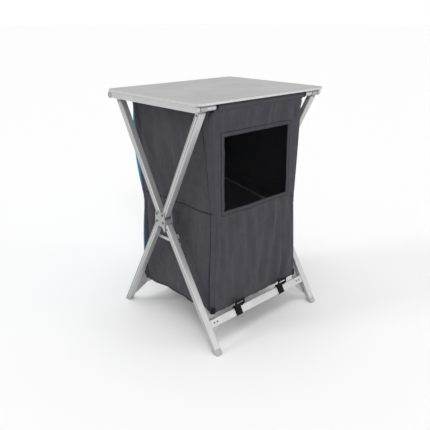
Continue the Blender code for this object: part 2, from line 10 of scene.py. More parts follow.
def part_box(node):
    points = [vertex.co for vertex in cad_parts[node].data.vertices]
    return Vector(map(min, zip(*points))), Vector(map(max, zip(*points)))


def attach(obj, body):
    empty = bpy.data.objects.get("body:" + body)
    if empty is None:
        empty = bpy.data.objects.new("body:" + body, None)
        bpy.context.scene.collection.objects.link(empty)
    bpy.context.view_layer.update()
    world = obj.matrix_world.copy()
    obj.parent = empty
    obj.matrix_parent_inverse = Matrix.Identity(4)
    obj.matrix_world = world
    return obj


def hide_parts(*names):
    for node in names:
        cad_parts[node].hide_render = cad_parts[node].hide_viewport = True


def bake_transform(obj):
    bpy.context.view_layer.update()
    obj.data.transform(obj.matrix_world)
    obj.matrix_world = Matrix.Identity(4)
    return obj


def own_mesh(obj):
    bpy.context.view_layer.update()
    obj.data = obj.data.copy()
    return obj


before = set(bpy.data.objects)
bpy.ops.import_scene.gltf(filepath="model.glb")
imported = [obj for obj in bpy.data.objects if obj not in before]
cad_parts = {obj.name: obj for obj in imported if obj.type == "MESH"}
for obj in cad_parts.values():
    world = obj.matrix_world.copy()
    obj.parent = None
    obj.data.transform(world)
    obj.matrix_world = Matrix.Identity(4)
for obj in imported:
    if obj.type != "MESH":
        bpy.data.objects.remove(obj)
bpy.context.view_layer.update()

# ---- driving dimensions
SIDES = (("right", 1), ("left", -1))
ENDS = (("back", 1), ("front", -1))
CORNERS = [(hand, side, word, end) for hand, side in SIDES for word, end in ENDS]

ROOT = "cabinet_and_hubs"
UPPER_PIVOT = (0.0147, 0.432)
UPPER_TILT = math.atan(0.5356)
LOWER_PIVOT = (0.0163, 0.405)
LOWER_TILT = math.atan(0.6074)
LEG_X = (0.2380, 0.2630)
GROOVE_OFFSET = 0.0045

BACK_LOW, BACK_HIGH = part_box("cabinet_back_panel")
CORNER_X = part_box("cabinet_side_panel_right")[1].x
CORNER_Y = BACK_HIGH.y
PANEL_FOOT = BACK_LOW.z
PANEL_TOP = BACK_HIGH.z
PINCH = 0.018
PINCH_Z = 0.418

WINDOW_LAP = 0.010
MESH_LOW, MESH_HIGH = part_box("window_mesh")
WINDOW_X = (MESH_LOW.x + WINDOW_LAP, MESH_HIGH.x - WINDOW_LAP)
WINDOW_Z = (MESH_LOW.z + WINDOW_LAP, MESH_HIGH.z - WINDOW_LAP)

FLAP_LOW, FLAP_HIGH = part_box("door_flap")
DOOR_LAP = 0.008
DOOR_X = FLAP_HIGH.x - DOOR_LAP
DOOR_Z = (FLAP_LOW.z + DOOR_LAP, FLAP_HIGH.z - DOOR_LAP)

SLEEVE_LOW, SLEEVE_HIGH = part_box("back_rail_sleeve")
RAIL_Y = (SLEEVE_LOW.y + SLEEVE_HIGH.y) / 2
RAIL_Z = (SLEEVE_LOW.z + SLEEVE_HIGH.z) / 2
SLEEVE_RADIUS = 0.0093
SLEEVE_HALF = SLEEVE_HIGH.x

CLOTH = 0.0009
GRID_STEP = 0.0042
HEM_WIDTH = 0.014
SEAM_PROUD = 0.0010
CORNER_ROUND = 0.014

# Side panels: seam height, rise of the hem, crease beside each corner, top of the tuck in
# it, depth and width of each hollow, and the fold up from the hub as (y, z) from the pinch.
SIDE_SEAM_Z = 0.460
SIDE_ARCH = 0.009
SIDE_HEM_DROP = 0.002
SIDE_CREASE = 0.022
SIDE_CREASE_LEAN = 0.010
TUCK_TOP_Z = 0.375
SEAM_HOLLOW = (0.0014, 0.003)
CREASE_HOLLOW = (0.0048, 0.0042)
CREASE_SWELL = (0.0022, 0.006)
DART_HOLLOW = (0.0050, 0.0065)
HUB_DART = ((0.004, -0.006), (0.020, 0.014), (0.034, 0.034), (0.048, 0.056))

# Front: the puffed edges stand outside the zips, and the flap rounds between them.
BULGE_ABOVE = 0.024
BULGE_BELOW = 0.010
ZIP_VALLEY = (0.176, 0.200)
FLAP_ROUND = (0.060, 0.146)
FLAP_CLEAR = 0.0006

# The strip of cloth between these heights would bend when the frame closes; fold_corner only works out
# a line across it.
FOLD_START_Z = 0.747
FOLD_END_Z = 0.79

# Folds: noise cells per metre across and along the cloth, and depth.
PANEL_UPRIGHT = (34.0, 6.0, 0.0150)
PANEL_BROAD = (9.0, 7.0, 0.0080)
PANEL_CRUMPLE = (80.0, 45.0, 0.0018)
PANEL_RIDGES = (26.0, 5.0, 0.0042)
PANEL_CREASES = (14.0, 16.0, 0.0012)
SIDE_UPRIGHT = (26.0, 6.0, 0.0066)
SIDE_BROAD = (9.0, 8.0, 0.0080)
SIDE_CRUMPLE = (80.0, 50.0, 0.0016)
SIDE_RIDGES = (24.0, 6.0, 0.0018)
SIDE_CREASES = (14.0, 14.0, 0.0012)
FLAP_FOLDS = (22.0, 5.0, 0.0060)
FLAP_RIDGES = (24.0, 6.0, 0.0018)
NET_SLACK = (30.0, 6.0, 0.004)
SLEEVE_PUCKER = (60.0, 2.0, 0.0007)

FORWARD = Vector((0.0, -1.0, 0.0))
X_AXIS = Vector((1.0, 0.0, 0.0))
Y_AXIS = Vector((0.0, 1.0, 0.0))
Z_AXIS = Vector((0.0, 0.0, 1.0))


class Slant:
    """Leg line of one frame: s runs from the pivot along the leg, n points outwards."""

    def __init__(self, end, upper):
        tilt = UPPER_TILT if upper else LOWER_TILT
        y, z = UPPER_PIVOT if upper else LOWER_PIVOT
        rise = 1 if upper else -1
        self.pivot = Vector((0.0, end * y, z))
        self.along = Vector((0.0, end * math.sin(tilt), rise * math.cos(tilt)))
        self.out = Vector((0.0, end * math.cos(tilt), -rise * math.sin(tilt)))

    def at(self, x, s, n):
        return Vector((x, 0.0, 0.0)) + self.pivot + self.along * s + self.out * n

    def height(self, z):
        return (z - self.pivot.z) / self.along.z


# ---- materials


class Wiring:
    """Short names for making and linking shader nodes."""

    def __init__(self, tree, coordinates):
        self.tree = tree
        self.place = self.node("ShaderNodeTexCoord").outputs[coordinates]

    def node(self, kind, **values):
        made = self.tree.nodes.new(kind)
        for key, value in values.items():
            setattr(made, key, value)
        return made

    def link(self, source, target):
        self.tree.links.new(source, target)

    def axis(self, letter):
        """One coordinate of the place being shaded."""
        split = self.node("ShaderNodeSeparateXYZ")
        self.link(self.place, split.inputs["Vector"])
        return split.outputs[letter]

    def ranged(self, value, low, high, start=0.3, stop=0.7):
        """Value from start to stop becomes low to high."""
        made = self.node("ShaderNodeMapRange")
        for socket, number in zip(("From Min", "From Max", "To Min", "To Max"),
                                  (start, stop, low, high)):
            made.inputs[socket].default_value = number
        self.link(value, made.inputs["Value"])
        return made.outputs["Result"]

    def maths(self, operation, first, second=None, number=None):
        made = self.node("ShaderNodeMath", operation=operation)
        self.link(first, made.inputs[0])
        if second is not None:
            self.link(second, made.inputs[1])
        elif number is not None:
            made.inputs[1].default_value = number
        return made.outputs["Value"]


class Finish(Wiring):
    """A procedural material while its nodes are being wired."""

    def __init__(self, name, colour, roughness, metallic=0.0, **sockets):
        self.material = bpy.data.materials.new(name)
        self.material.use_nodes = True
        self.material.diffuse_color = (*colour, 1.0)
        super().__init__(self.material.node_tree, "Object")
        self.shader = self.tree.nodes["Principled BSDF"]
        sockets.update(Base_Color=(*colour, 1.0), Roughness=roughness, Metallic=metallic)
        for socket, value in sockets.items():
            self.shader.inputs[socket.replace("_", " ")].default_value = value

    def stretched(self, scale, turn=(0.0, 0.0, 0.0)):
        """Object coordinates, first turned, then scaled along each axis."""
        turned = self.node("ShaderNodeMapping")
        turned.inputs["Rotation"].default_value = turn
        self.link(self.place, turned.inputs["Vector"])
        scaled = self.node("ShaderNodeMapping")
        scaled.inputs["Scale"].default_value = scale
        self.link(turned.outputs["Vector"], scaled.inputs["Vector"])
        return scaled.outputs["Vector"]

    def noise(self, scale, detail=2.0, vector=None):
        made = self.node("ShaderNodeTexNoise")
        made.inputs["Scale"].default_value = scale
        made.inputs["Detail"].default_value = detail
        self.link(vector or self.place, made.inputs["Vector"])
        return made.outputs["Fac"]

    def wave(self, value, pitch):
        return self.maths("SINE", self.maths("MULTIPLY", value, number=2 * math.pi / pitch))

    def mixed(self, factor, first, second):
        """Colour between two fixed colours, or between a colour output and a fixed one."""
        made = self.node("ShaderNodeMix", data_type="RGBA")
        self.link(factor, made.inputs["Factor"])
        for socket, colour in ((made.inputs[6], first), (made.inputs[7], second)):
            if isinstance(colour, tuple):
                socket.default_value = (*colour, 1.0)
            else:
                self.link(colour, socket)
        return made.outputs[2]

    def toned(self, value, colour, low, high, start=0.3, stop=0.7):
        """The colour made darker or lighter as the value goes from start to stop."""
        share = self.ranged(value, 0.0, 1.0, start, stop)
        return self.mixed(share, shade(colour, low), shade(colour, high))

    def colour(self, output):
        self.link(output, self.shader.inputs["Base Color"])

    def roughness(self, output):
        self.link(output, self.shader.inputs["Roughness"])

    def bump(self, height, strength, distance):
        made = self.node("ShaderNodeBump")
        made.inputs["Strength"].default_value = strength
        made.inputs["Distance"].default_value = distance
        self.link(height, made.inputs["Height"])
        self.link(made.outputs["Normal"], self.shader.inputs["Normal"])


def shade(colour, factor):
    return tuple(channel * factor for channel in colour)


def woven(name, colour, pitch):
    """Plain-weave cloth: crossing threads, mottled dye and rubbed patches."""
    cloth = Finish(name, colour, 0.88, Sheen_Weight=0.04, Sheen_Roughness=0.5, Specular_IOR_Level=0.25)
    warp = cloth.wave(cloth.maths("ADD", cloth.axis("X"), cloth.axis("Y")), pitch)
    weave = cloth.maths("MULTIPLY", warp, cloth.wave(cloth.axis("Z"), pitch))
    dye = cloth.toned(weave, colour, 0.84, 1.16, -1.0, 1.0)
    rubbed = cloth.ranged(cloth.noise(22.0, 3.0), 0.0, 0.20)
    patchy = cloth.mixed(rubbed, dye, shade(colour, 1.7))
    slub = cloth.noise(1.0, 3.0, cloth.stretched((380.0, 380.0, 22.0)))
    streaky = cloth.mixed(cloth.ranged(slub, 0.0, 0.45), patchy, shade(colour, 0.55))
    fleck = cloth.ranged(cloth.noise(420.0), 0.0, 0.5)
    cloth.colour(cloth.mixed(fleck, streaky, shade(colour, 1.6)))
    cloth.roughness(cloth.ranged(cloth.noise(30.0), 0.82, 0.96))
    cloth.bump(cloth.maths("ADD", weave, slub), 0.35, 0.00015)
    return cloth.material


def netting(name, colour, pitch):
    """Fine net: threads both ways with open cells between them, and vertical streaks of painted
    highlight.
    """
    net = Finish(name, colour, 0.85, Specular_IOR_Level=0.06)
    threads = [net.maths("ABSOLUTE", net.wave(net.axis(letter), 2 * pitch)) for letter in "XZ"]
    nearest = net.maths("MAXIMUM", *threads)
    net.link(net.ranged(nearest, 0.0, 1.0, 0.935, 0.978), net.shader.inputs["Alpha"])
    # Painted highlight: vertical streaks up to 2.6 times lighter than the net's own colour.
    painted_highlight_streaks = net.noise(1.0, 3.0, net.stretched((26.0, 26.0, 2.0)))
    net.colour(net.toned(painted_highlight_streaks, colour, 1.0, 2.6))
    net.roughness(net.ranged(nearest, 0.7, 0.9, 0.0, 1.0))
    net.bump(nearest, 0.4, 0.0002)
    return net.material


def drawn_metal(name, colour, turn, along, groove_line=None):
    """Matt anodised extrusion: draw lines along the profile, smudges, and painted shade in the
    grooves.
    """
    roughness = (0.38, 0.54)
    metal = Finish(name, colour, roughness[0], 0.55)
    scale = [900.0, 900.0, 900.0]
    scale["XYZ".index(along)] = 9.0
    lines = metal.noise(1.0, 3.0, metal.stretched(tuple(scale), turn))
    smudge = metal.noise(14.0, 4.0)
    tone = metal.toned(lines, colour, 0.90, 1.05)
    worn_and_groove_shade = metal.mixed(metal.ranged(smudge, 0.0, 0.35), tone, shade(colour, 0.80))
    # Painted shade: the two grooves beside each leg face's centre line are darkened to 30 per cent.
    if groove_line:
        worn_and_groove_shade = metal.mixed(groove_shade_mask(metal, *groove_line), worn_and_groove_shade, shade(colour, 0.30))
    metal.colour(worn_and_groove_shade)
    metal.roughness(metal.ranged(metal.maths("ADD", lines, smudge), *roughness, 0.7, 1.3))
    metal.bump(lines, 0.12, 0.0001)
    return metal.material


def groove_shade_mask(metal, pivot, out):
    """1 in the two grooves that run beside the centre line of a leg's face, 0 elsewhere: where groove
    shade is painted.
    """
    offset = metal.node("ShaderNodeVectorMath", operation="SUBTRACT")
    metal.link(metal.place, offset.inputs[0])
    offset.inputs[1].default_value = pivot
    across = metal.node("ShaderNodeVectorMath", operation="DOT_PRODUCT")
    metal.link(offset.outputs["Vector"], across.inputs[0])
    across.inputs[1].default_value = out
    beside = metal.maths("ABSOLUTE", across.outputs["Value"])
    away = metal.maths("ABSOLUTE", metal.maths("SUBTRACT", beside, number=GROOVE_OFFSET))
    return metal.ranged(away, 1.0, 0.0, 0.0006, 0.0013)


def cast_metal(name, colour, roughness, grain, metallic=0.85):
    """Die-cast or tumbled metal: pebbled skin with darker hollows."""
    metal = Finish(name, colour, roughness, metallic)
    skin = metal.noise(grain, 3.0)
    metal.colour(metal.toned(skin, colour, 0.80, 1.08))
    metal.roughness(metal.ranged(metal.noise(40.0), roughness - 0.08, roughness + 0.10))
    metal.bump(skin, 0.30, 0.0002)
    return metal.material


def moulded(name, colour, roughness):
    """Moulded plastic: fine spark texture and slightly polished patches."""
    plastic = Finish(name, colour, roughness, Specular_IOR_Level=0.12)
    plastic.colour(plastic.toned(plastic.noise(60.0), colour, 0.88, 1.12))
    plastic.roughness(plastic.ranged(plastic.noise(35.0), roughness - 0.08, roughness + 0.12))
    plastic.bump(plastic.noise(1600.0), 0.25, 0.00015)
    return plastic.material


def laminate(name, colour):
    """Satin melamine: a faint directional grain, fine speckle and rubbed areas."""
    top = Finish(name, colour, 0.42)
    grain = top.noise(1.0, 3.0, top.stretched((9.0, 420.0, 420.0)))
    speck = top.noise(900.0)
    base = top.toned(grain, colour, 0.965, 1.03)
    top.colour(top.mixed(top.ranged(speck, 0.0, 0.14), base, shade(colour, 0.72)))
    top.roughness(top.ranged(top.noise(9.0, 4.0), 0.36, 0.52))
    top.bump(top.maths("ADD", grain, speck), 0.10, 0.0001)
    return top.material


def ribbed(name, colour, axis, pitch):
    """Webbing: ribs across the strap, with fuzz that breaks them up."""
    web = Finish(name, colour, 0.85, Sheen_Weight=0.03, Specular_IOR_Level=0.15)
    fuzz = web.noise(700.0)
    height = web.maths("ADD", web.wave(web.axis(axis), pitch), fuzz)
    web.colour(web.toned(height, colour, 0.6, 1.8, -0.6, 1.6))
    web.roughness(web.ranged(fuzz, 0.75, 0.92))
    web.bump(height, 0.35, 0.00025)
    return web.material


CHARCOAL = (0.050, 0.048, 0.058)
TEAL = (0.003, 0.190, 0.330)
BLACK = (0.006, 0.006, 0.0065)
ALUMINIUM = (0.57, 0.572, 0.57)

charcoal_cloth = woven("charcoal_polyester", CHARCOAL, 0.0009)
# Dark tape: real bindings and piping, and also painted shade lines along the window hem and the side
# seams.
dark_binding_and_shade = woven("dark_binding_tape", shade(CHARCOAL, 0.35), 0.0007)
teal_cloth = woven("teal_polyester", TEAL, 0.0009)
# Black tape: real bindings on the sleeves and hem corners, and also painted shade rolls in the side
# creases.
black_binding_and_shade = woven("black_binding_tape", BLACK, 0.0007)
shelf_cloth = woven("shelf_cloth", shade(CHARCOAL, 1.3), 0.0010)
black_net = netting("black_netting", (0.0012, 0.0012, 0.0014), 0.0015)
webbing = ribbed("black_webbing_ribs", BLACK, "X", 0.0016)
thread = moulded("dark_sewing_thread", shade(CHARCOAL, 0.25), 0.8)
teal_thread = moulded("teal_sewing_thread", shade(TEAL, 1.3), 0.7)
zip_tape = ribbed("black_zip_tape", BLACK, "Z", 0.0012)

rail_metal = drawn_metal("drawn_aluminium_rails", ALUMINIUM, (0.0, 0.0, 0.0), "X")
bar_metal = drawn_metal("drawn_aluminium_bars", ALUMINIUM, (0.0, 0.0, 0.0), "Y")
trim_metal = cast_metal("satin_edge_trim", (0.62, 0.622, 0.62), 0.42, 500.0, 0.75)
leg_metals = {}
for word, end in ENDS:
    for level, tilt in (("upper", end * UPPER_TILT), ("lower", -end * LOWER_TILT)):
        line = Slant(end, level == "upper")
        name = f"drawn_aluminium_{word}_{level}_legs"
        grooves = (line.pivot, line.out)
        leg_metals[word, level] = drawn_metal(name, ALUMINIUM, (tilt, 0.0, 0.0), "Z", grooves)
bright_rod = cast_metal("bright_shelf_rod", (0.90, 0.90, 0.90), 0.34, 900.0, 0.5)
casting = cast_metal("die_cast_alloy", (0.42, 0.425, 0.42), 0.48, 700.0, 0.6)
steel = cast_metal("plated_rivets", (0.20, 0.20, 0.205), 0.36, 1200.0, 0.9)
top_laminate = laminate("satin_grey_laminate", (0.432, 0.423, 0.430))
grey_plastic = moulded("grey_moulded_plastic", (0.40, 0.405, 0.405), 0.55)
black_plastic = moulded("black_moulded_plastic", BLACK, 0.48)

# ---- mesh helpers


def clamp(value):
    return min(1.0, max(0.0, value))


def smooth_step(value, start, stop):
    t = clamp((value - start) / (stop - start))
    return t * t * (3 - 2 * t)


def ramp_off(value, start, stop):
    return 1 - smooth_step(value, start, stop)


def arch(value, start, stop):
    """Half a sine wave: 0 at start and at stop, 1 midway."""
    return math.sin(math.pi * clamp((value - start) / (stop - start)))


def stations(breaks, step):
    """Coordinates that include every break, evenly filled to about one step."""
    found = [breaks[0]]
    for low, high in zip(breaks, breaks[1:]):
        count = max(1, round((high - low) / step))
        found += [low + (high - low) * k / count for k in range(1, count + 1)]
    return found


def add_object(name, data):
    obj = bpy.data.objects.new(name, data)
    bpy.context.scene.collection.objects.link(obj)
    return obj


def from_bmesh(name, bm, material, angle=40.0):
    bmesh.ops.recalc_face_normals(bm, faces=bm.faces)
    mesh = bpy.data.meshes.new(name)
    bm.to_mesh(mesh)
    bm.free()
    mesh.materials.append(material)
    mesh.shade_smooth()
    mesh.set_sharp_from_angle(angle=math.radians(angle))
    return add_object(name, mesh)


def rigid(name, bm, material, body, angle=40.0):
    """A finished piece with its material slot, riding on one body."""
    obj = from_bmesh(name, bm, material, angle)
    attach(obj, body)
    return obj


def sewn_on(name, bm, material, fold, word):
    """A finished piece with its material slot, its placement baked in as the cloth under it is."""
    obj = from_bmesh(name, bm, material)
    fold(obj, word)
    return obj


def cloth_grid(name, us, vs, place, material, thickness=CLOTH, hole=None):
    """A sheet over a grid of (u, v), half its thickness to each side, with an optional opening."""
    bm = bmesh.new()
    rows = [[bm.verts.new(place(u, v)) for u in us] for v in vs]
    for j in range(len(vs) - 1):
        for i in range(len(us) - 1):
            u = (us[i] + us[i + 1]) / 2
            v = (vs[j] + vs[j + 1]) / 2
            if hole and hole[0] < u < hole[1] and hole[2] < v < hole[3]:
                continue
            bm.faces.new((rows[j][i], rows[j][i + 1], rows[j + 1][i + 1], rows[j + 1][i]))
    loose = [vert for vert in bm.verts if not vert.link_faces]
    bmesh.ops.delete(bm, geom=loose, context="VERTS")
    sheet = from_bmesh(name, bm, material, 60.0)
    step = sheet.modifiers.new("thickness", "SOLIDIFY")
    step.thickness = thickness
    step.offset = 0.0
    bpy.context.view_layer.update()
    solid = sheet.evaluated_get(bpy.context.evaluated_depsgraph_get())
    mesh = bpy.data.meshes.new_from_object(solid)
    sheet.modifiers.clear()
    sheet.data = mesh
    return sheet


def circle(radius, steps):
    turn = 2 * math.pi / steps
    return [(radius * math.cos(turn * k), radius * math.sin(turn * k)) for k in range(steps)]


def rounded_rect(width, height, radius, steps=4):
    points = []
    for corner in range(4):
        centre_x = (width / 2 - radius) * (1 if corner in (0, 3) else -1)
        centre_y = (height / 2 - radius) * (1 if corner in (0, 1) else -1)
        for k in range(steps + 1):
            a = math.radians(90 * corner + 90 * k / steps)
            points.append((centre_x + radius * math.cos(a), centre_y + radius * math.sin(a)))
    return points


def bridge(bm, rings, closed=False):
    verts = [[bm.verts.new(point) for point in ring] for ring in rings]
    count = len(rings[0])
    pairs = list(zip(verts, verts[1:]))
    if closed:
        pairs.append((verts[-1], verts[0]))
    for low, high in pairs:
        for i in range(count):
            j = (i + 1) % count
            bm.faces.new((low[i], low[j], high[j], high[i]))
    if not closed:
        bm.faces.new(list(reversed(verts[0])))
        bm.faces.new(verts[-1])


def swept(path, section, up, closed=False):
    """New bmesh: a section (side, up) carried along a path of points."""
    rings = []
    for k, point in enumerate(path):
        if closed:
            tangent = path[(k + 1) % len(path)] - path[k - 1]
        else:
            tangent = path[min(k + 1, len(path) - 1)] - path[max(k - 1, 0)]
        tangent.normalize()
        side = tangent.cross(up).normalized()
        rise = side.cross(tangent).normalized()
        rings.append([point + side * a + rise * b for a, b in section])
    bm = bmesh.new()
    bridge(bm, rings, closed)
    return bm


def turned(bm, centre, axis, profile, steps):
    """Solid of revolution: profile holds (distance along the axis, radius)."""
    axis = Vector(axis).normalized()
    side = axis.orthogonal().normalized()
    rise = axis.cross(side)
    rings = []
    for along, radius in profile:
        rings.append([Vector(centre) + axis * along + side * p + rise * q
                      for p, q in circle(radius, steps)])
    bridge(bm, rings)


def dome(bm, centre, axis, radius, height):
    """Rivet head with a rolled edge and a rounded crown."""
    profile = [(-0.0004, radius * 0.9), (0.0, radius), (height * 0.35, radius * 0.98)]
    profile += [(height * (0.35 + 0.65 * math.sin(a)), radius * math.cos(a))
                for a in (0.45, 0.85, 1.2, 1.5)]
    turned(bm, centre, axis, profile, 16)


STITCH_LENGTH = 0.0038
STITCH_PITCH = 0.0050
STITCH_RADIUS = 0.00045
STITCH_GAP = 0.0002
EDGE_ROW = 0.0025
HEM_ROW = HEM_WIDTH - 0.002
ROW_STEP = 0.012


def on_cloth(outward, gap=STITCH_GAP):
    """Step from the middle of a cloth to just off its outer face."""
    return outward * (CLOTH / 2 + gap)


def sew(bm, place, points, outward, radius=STITCH_RADIUS):
    """A row of stitches through (u, v) points of a cloth: short spindles that lie on it."""
    path = [place(u, v) + on_cloth(outward) for u, v in points]
    distance = 0.0
    for start, stop in zip(path, path[1:]):
        length = (stop - start).length
        if length == 0.0:
            continue
        heading = (stop - start) / length
        side = heading.cross(outward).normalized()
        while distance < length:
            middle = start + heading * distance
            tips = [middle - heading * STITCH_LENGTH / 2, middle + heading * STITCH_LENGTH / 2]
            waist = [middle + side * radius, middle + outward * radius * 1.6,
                     middle - side * radius, middle - outward * radius]
            first, last = (bm.verts.new(tip) for tip in tips)
            belt = [bm.verts.new(point) for point in waist]
            for i in range(4):
                bm.faces.new((first, belt[i], belt[(i + 1) % 4]))
                bm.faces.new((last, belt[(i + 1) % 4], belt[i]))
            distance += STITCH_PITCH
        distance -= length


# ---- CAD nodes that stay
def paint(name, material):
    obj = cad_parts[name]
    obj.data.materials.clear()
    obj.data.materials.append(material)


def paint_frame():
    one_off = {"tabletop_board": top_laminate, "tabletop_edge_trim": trim_metal,
               "mid_shelf": shelf_cloth, "floor_shelf": shelf_cloth}
    for name, material in one_off.items():
        paint(name, material)
    on_each_side = {"tabletop_side_bar": bar_metal, "tie_bar": bar_metal,
                    "door_zip_slider": black_plastic, "hub_outer_plate": casting,
                    "hub_inner_plate": casting}
    at_each_corner = {"rail_bracket": casting, "knuckle": casting, "rail_gusset": casting,
                      "foot_plug": grey_plastic, "upper_pivot_rivet": steel,
                      "lower_pivot_rivet": steel}
    for hand, _ in SIDES:
        for start, material in on_each_side.items():
            paint(f"{start}_{hand}", material)
    for hand, _, word, _ in CORNERS:
        for middle, material in at_each_corner.items():
            paint(f"{word}_{middle}_{hand}", material)
        for level in ("upper", "lower"):
            paint(f"{word}_{level}_leg_{hand}", leg_metals[word, level])
    for word, _ in ENDS:
        for level in ("top", "bottom"):
            paint(f"{word}_{level}_rail", rail_metal)


# ---- cupboard surfaces
def pinch(z):
    """How far the corner seams are drawn in at height z by the middle shelf."""
    reach = PANEL_TOP - PINCH_Z if z > PINCH_Z else PINCH_Z - PANEL_FOOT
    fraction = max(0.0, 1.0 - abs(z - PINCH_Z) / reach)
    return PINCH * fraction ** 1.4


def ripple(a, b, seed, fine, tall, amount):
    """Soft folds, finer across (a) than along (b)."""
    return amount * noise.noise(Vector((a * fine, b * tall, seed)))


def crease(a, b, seed, fine, tall, amount):
    """Sharp ridges where the cloth has been folded, wandering and fading out."""
    ridge = max(0.0, 1.0 - abs(noise.noise(Vector((a * fine, b * tall, seed)))) / 0.16)
    fade = smooth_step(noise.noise(Vector((a * 9.0, b * 9.0, seed + 4.0))), -0.15, 0.25)
    return amount * ridge ** 1.5 * fade


def front_bulge(z):
    """The front stands forward of its corner seams, most of all above the middle shelf."""
    return BULGE_ABOVE * arch(z, PINCH_Z, PANEL_TOP) + BULGE_BELOW * arch(z, PANEL_FOOT, PINCH_Z)


def round_corner(across, half):
    """Distance along a face near its vertical edge, wrapped onto a quarter round.

    Gives the new distance and how far the cloth has fallen back from the face."""
    beyond = across - (half - CORNER_ROUND)
    if beyond <= 0.0:
        return across, 0.0
    angle = math.pi / 4 * beyond / CORNER_ROUND
    return half - CORNER_ROUND * (1 - math.sin(angle)), CORNER_ROUND * (1 - math.cos(angle))


def panel_edge(z):
    """Half width of the front or back panel at height z."""
    taper = smooth_step(z, PANEL_TOP - 0.004, RAIL_Z - 0.006)
    return CORNER_X - pinch(z) - taper * (CORNER_X - SLEEVE_HALF + 0.002)


def panel_lean(z):
    """How far the panel's top leans out to reach the underside of the rail's sleeve."""
    start = PANEL_TOP - 0.030
    fraction = max(0.0, (z - start) / (RAIL_Z - 0.009 - start))
    return 0.0095 * fraction ** 1.5


def panel_point(end, x, z, seed):
    """Point on the outside of the front or back panel; x is before the corners pull in."""
    spread = smooth_step(abs(x), 0.165, CORNER_X)
    moved = math.copysign(1.0, x) * spread * (CORNER_X - panel_edge(z))
    window_fade = 0.030
    beside_opening = smooth_step(z, WINDOW_Z[0] - window_fade, WINDOW_Z[0])
    beside_opening *= ramp_off(z, WINDOW_Z[1], WINDOW_Z[1] + window_fade)
    free = 1 - 0.90 * beside_opening
    calm = ramp_off(abs(x), CORNER_X - 0.045, CORNER_X - 0.004)
    calm *= 0.35 + 0.65 * smooth_step(z, PANEL_FOOT, PANEL_FOOT + 0.07)
    calm *= ramp_off(z, PANEL_TOP - 0.010, RAIL_Z)

    depth = ripple(x, z, 3.1 + seed, *PANEL_UPRIGHT) * free
    depth += ripple(x, z, 8.7 + seed, *PANEL_BROAD) * (1 - 0.6 * beside_opening)
    depth += ripple(x, z, 5.2 + seed, *PANEL_CRUMPLE)
    depth += drawn_to_hub(CORNER_X - abs(x), z - PINCH_Z, seed)
    depth += crease(x, z, 6.4 + seed, *PANEL_RIDGES) * free
    depth += crease(x, z, 2.4 + seed, *PANEL_CREASES)
    depth *= calm
    if end < 0:
        past_opening = max(abs(x) - DOOR_X, DOOR_Z[0] - z, z - DOOR_Z[1])
        depth *= smooth_step(past_opening, DOOR_LAP, 2 * DOOR_LAP)
    fullness = 0.0020
    deepest = 0.0040
    depth = max(depth + fullness * free * calm, -deepest)

    y = CORNER_Y - 0.0010 + depth + panel_lean(z)
    if end < 0:
        beside_zip = smooth_step(abs(x), *ZIP_VALLEY)
        y += front_bulge(z) * beside_zip * ramp_off(abs(x), CORNER_X - 0.005, CORNER_X)
    across, fallen = round_corner(abs(x - moved), panel_edge(z))
    return Vector((math.copysign(across, x), end * (y - fallen), z))


def drawn_to_hub(across, up, seed):
    """Short folds that fan out from the place where the corner is drawn in."""
    away = Vector((across, up)).length
    fan = math.sin(9 * math.atan2(up, across) + seed)
    return 0.0022 * fan * math.exp(-away / 0.07) * smooth_step(away, 0.0, 0.02)


def side_crease(z):
    """How far the crease of the side seam runs from the corner at height z."""
    return SIDE_CREASE + SIDE_CREASE_LEAN * smooth_step(z, SIDE_SEAM_Z, PANEL_TOP)


def dart_distance(y, z):
    """Distance to the fold that runs up from the hub to the side seam."""
    here = Vector((y, z))
    nearest = 1.0
    for (y0, z0), (y1, z1) in zip(HUB_DART, HUB_DART[1:]):
        start = Vector((y0, PINCH_Z + z0))
        along = Vector((y1, PINCH_Z + z1)) - start
        reach = clamp((here - start).dot(along) / along.length_squared)
        nearest = min(nearest, (here - start - along * reach).length)
    return nearest


def side_foot(y):
    """Bottom edge of a side panel: it lifts between the corners."""
    return PANEL_FOOT - SIDE_HEM_DROP + SIDE_ARCH * (1 - (y / CORNER_Y) ** 2)


def side_share(y, z):
    """Where height z lies between a side panel's hem (0) and its top (1)."""
    low = side_foot(y)
    return (z - low) / (PANEL_TOP - low)


def hollow(distance, depth, width):
    return depth * math.exp(-(distance / width) ** 2)


def side_point(side, y, t):
    """Point on the outside of a side panel; t runs from the hem (0) to the top (1)."""
    low = side_foot(y)
    high = PANEL_TOP + 0.014 * smooth_step(abs(y), CORNER_Y - 0.035, CORNER_Y)
    z = low + (high - low) * t
    middle = 1 - (y / CORNER_Y) ** 2
    folds = ripple(y, z, 21.0 + side, *SIDE_UPRIGHT)
    folds += ripple(y, z, 31.0 + side, *SIDE_BROAD)
    folds += ripple(y, z, 41.0 + side, *SIDE_CRUMPLE)
    folds += crease(y, z, 51.0 + side, *SIDE_RIDGES)
    folds += crease(y, z, 57.0 + side, *SIDE_CREASES)
    tension = 0.0021 * middle * arch(t, 0.0, 1.0)

    inboard = CORNER_Y - abs(y)
    x = CORNER_X - 0.0008 - pinch(z) - tension
    x += max(folds * smooth_step(middle, 0.10, 0.24), -0.005)
    x -= hollow(z - SIDE_SEAM_Z, *SEAM_HOLLOW)
    x -= hollow(inboard - side_crease(z), *CREASE_HOLLOW)
    x += hollow(inboard - side_crease(z) / 2, *CREASE_SWELL)
    x -= hollow(dart_distance(abs(y), z), *DART_HOLLOW)
    across, fallen = round_corner(abs(y), CORNER_Y)
    return Vector((side * (x - fallen), math.copysign(across, y), z))


def fold_with_frame(obj, word):
    """Bakes the cloth's placement into its mesh; the cloth does not follow the frame as it folds."""
    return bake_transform(obj)


